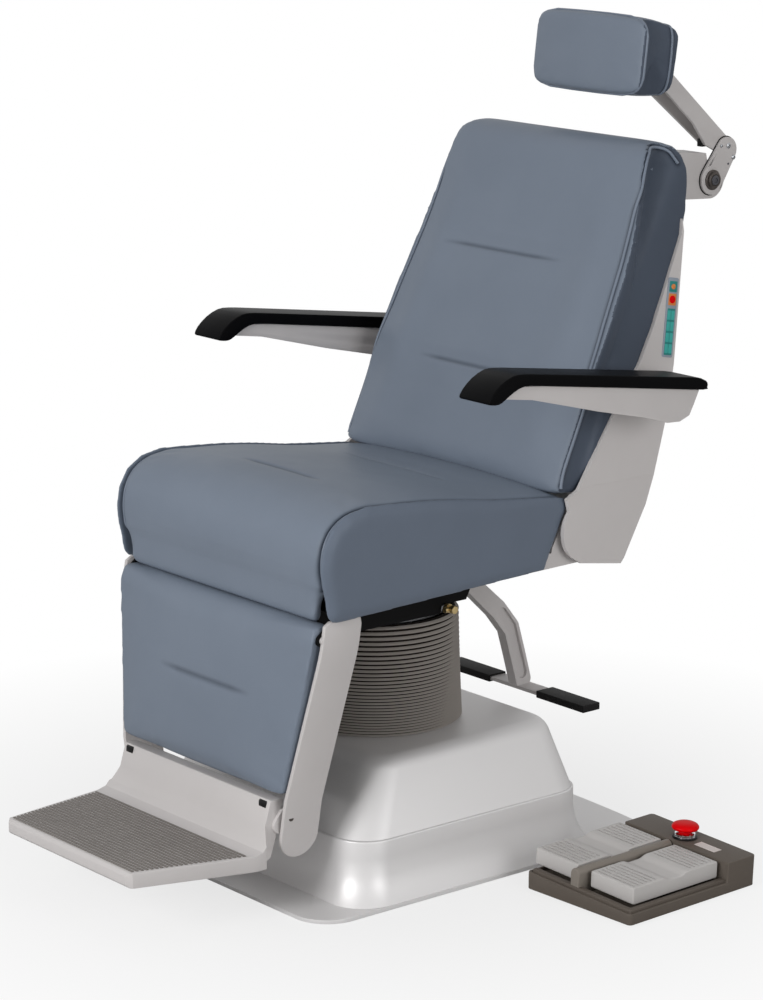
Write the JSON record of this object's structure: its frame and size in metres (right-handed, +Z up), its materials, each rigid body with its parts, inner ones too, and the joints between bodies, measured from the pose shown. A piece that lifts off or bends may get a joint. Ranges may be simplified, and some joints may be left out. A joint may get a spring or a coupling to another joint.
{
  "type": "ophthalmic examination chair",
  "caption": "Powered examination chair with a bellows-covered lift column, reclining back, rising leg rest, folding footrest, level armrests, headrest, foot lever and pedal control.",
  "frame": {"origin": "on the floor, on the axis of the lift column", "axes": "+Z up; the front of the chair faces -Y; +X is the sitter's left-hand side, where the foot control lies; the longest extent runs along Y"},
  "size_m": [0.9249, 1.349, 1.2907],
  "materials": {
    "paint": "satin light grey paint",
    "housing_paint": "satin light grey paint on the base housing",
    "vinyl": "smooth blue-grey artificial leather",
    "black_plastic": "matt black moulding",
    "black_rubber": "ribbed black rubber",
    "black_steel": "black painted frame",
    "steel": "machined",
    "chrome": "polished",
    "bellows_rubber": "matt taupe",
    "case_plastic": "fine-textured taupe",
    "pedal_plastic": "light grey",
    "red_plastic": "signal red",
    "brass": "bright"
  },
  "bodies": {
    "base": {"base_plate": "housing_paint", "lower_housing": "housing_paint", "upper_housing": "housing_paint", "column_tube": "steel", "guide_bushes": "black_plastic", "column_bolts": "steel", "lift_barrel": "steel", "pump_unit": "steel", "control_box": "black_plastic", "mains_inlet": "black_plastic", "bellows": "bellows_rubber", "control_case": "case_plastic", "control_feet": "black_plastic", "control_divider": "case_plastic", "pedal_pin": "steel", "stop_collar": "chrome"},
    "lift": {"lift_tube": "steel", "lift_plunger": "steel", "swivel_ring": "steel"},
    "seat": {"seat_frame": "black_steel", "seat_pan": "black_plastic", "seat_plates": "paint", "seat_cushion": "vinyl", "seat_skirts": "vinyl", "recline_barrel": "black_plastic", "hose_fitting": "brass", "leg_pins": "steel"},
    "drive": {"drive_bar": "steel"},
    "back": {"recline_shaft": "steel", "back_plates": "paint", "back_board": "black_plastic", "back_cover": "paint", "back_cushion": "vinyl", "keypad": "case_plastic", "head_bracket": "paint"},
    "arm_link_right": {"arm_hub_right": "steel"},
    "arm_right": {"arm_shell_right": "paint", "arm_cap_right": "black_plastic"},
    "arm_link_left": {"arm_hub_left": "steel"},
    "arm_left": {"arm_shell_left": "paint", "arm_cap_left": "black_plastic"},
    "leg": {"leg_arms": "paint", "leg_board": "black_plastic", "leg_cushion": "vinyl", "foot_screws": "steel"},
    "footrest": {"foot_bracket": "paint", "foot_tread": "black_rubber"},
    "head_link": {"head_links": "paint", "head_arm": "paint", "head_knob": "black_plastic", "head_screws": "steel", "head_bumper": "black_rubber"},
    "head_pad": {"head_board": "black_plastic", "head_cushion": "vinyl"},
    "lever": {"lever_post": "paint", "lever_grips": "black_rubber"},
    "pedal_right": {"pedal_right": "pedal_plastic"},
    "pedal_left": {"pedal_left": "pedal_plastic"},
    "stop": {"stop_button": "red_plastic"}
  },
  "joints": [
    {"name": "lift", "type": "slide", "parent": "base", "child": "lift", "axis": [0, 0, 1], "range_m": [0, 0.14], "deforming": ["bellows"]},
    {"name": "swivel", "type": "hinge", "parent": "lift", "child": "seat", "pos_m": [0, 0, 0.4], "axis": [0, 0, 1], "range_deg": [-90, 90]},
    {"name": "recline", "type": "hinge", "parent": "seat", "child": "back", "pos_m": [0, 0.205, 0.527], "axis": [-1, 0, 0], "range_deg": [0, 50]},
    {"name": "drive_slide", "type": "slide", "parent": "seat", "child": "drive", "axis": [0, -1, 0], "range_m": [0, 0.051]},
    {"name": "leg_swing", "type": "hinge", "parent": "seat", "child": "leg", "pos_m": [0, -0.3, 0.434], "axis": [-1, 0, 0], "range_deg": [0, 65.5]},
    {"name": "foot_fold", "type": "hinge", "parent": "leg", "child": "footrest", "pos_m": [0, -0.327, 0.154], "axis": [-1, 0, 0], "range_deg": [0, 80]},
    {"name": "arm_level_right", "type": "hinge", "parent": "back", "child": "arm_link_right", "pos_m": [0, 0.322, 0.722], "axis": [-1, 0, 0], "range_deg": [-50, 0]},
    {"name": "arm_level_left", "type": "hinge", "parent": "back", "child": "arm_link_left", "pos_m": [0, 0.322, 0.722], "axis": [-1, 0, 0], "range_deg": [-50, 0]},
    {"name": "arm_flip_right", "type": "hinge", "parent": "arm_link_right", "child": "arm_right", "pos_m": [0, 0.322, 0.722], "axis": [-1, 0, 0], "range_deg": [0, 85]},
    {"name": "arm_flip_left", "type": "hinge", "parent": "arm_link_left", "child": "arm_left", "pos_m": [0, 0.322, 0.722], "axis": [-1, 0, 0], "range_deg": [0, 85]},
    {"name": "head_swing", "type": "hinge", "parent": "back", "child": "head_link", "pos_m": [0, 0.7, 1.003], "axis": [-1, 0, 0], "range_deg": [0, 100]},
    {"name": "head_tilt", "type": "hinge", "parent": "head_link", "child": "head_pad", "pos_m": [0, 0.545, 1.214], "axis": [-1, 0, 0], "range_deg": [-25, 25]},
    {"name": "lever_press", "type": "hinge", "parent": "seat", "child": "lever", "pos_m": [0, 0.172, 0.41], "axis": [-1, 0, 0], "range_deg": [0, 3], "stiffness_Nm_per_rad": 400, "springref_deg": -6.88},
    {"name": "pedal_right_rock", "type": "hinge", "parent": "base", "child": "pedal_right", "pos_m": [0.49566, 0.14593, 0.03661], "axis": [0.9981, 0.0383, -0.0488], "range_deg": [-2, 2], "stiffness_Nm_per_rad": 12},
    {"name": "pedal_left_rock", "type": "hinge", "parent": "base", "child": "pedal_left", "pos_m": [0.37689, 0.14137, 0.04242], "axis": [0.9981, 0.0383, -0.0488], "range_deg": [-2, 2], "stiffness_Nm_per_rad": 12},
    {"name": "stop_press", "type": "slide", "parent": "base", "child": "stop", "axis": [-0.0488, -0.0019, -0.9988], "range_m": [0, 0.004], "stiffness_N_per_m": 600, "springref_m": -0.002}
  ],
  "couplings": [
    {"joint": "drive_slide", "follows": "recline", "m_per_rad": 0.058114},
    {"joint": "leg_swing", "follows": "recline", "ratio": 1.3},
    {"joint": "arm_level_right", "follows": "recline", "ratio": -1},
    {"joint": "arm_level_left", "follows": "recline", "ratio": -1}
  ]
}
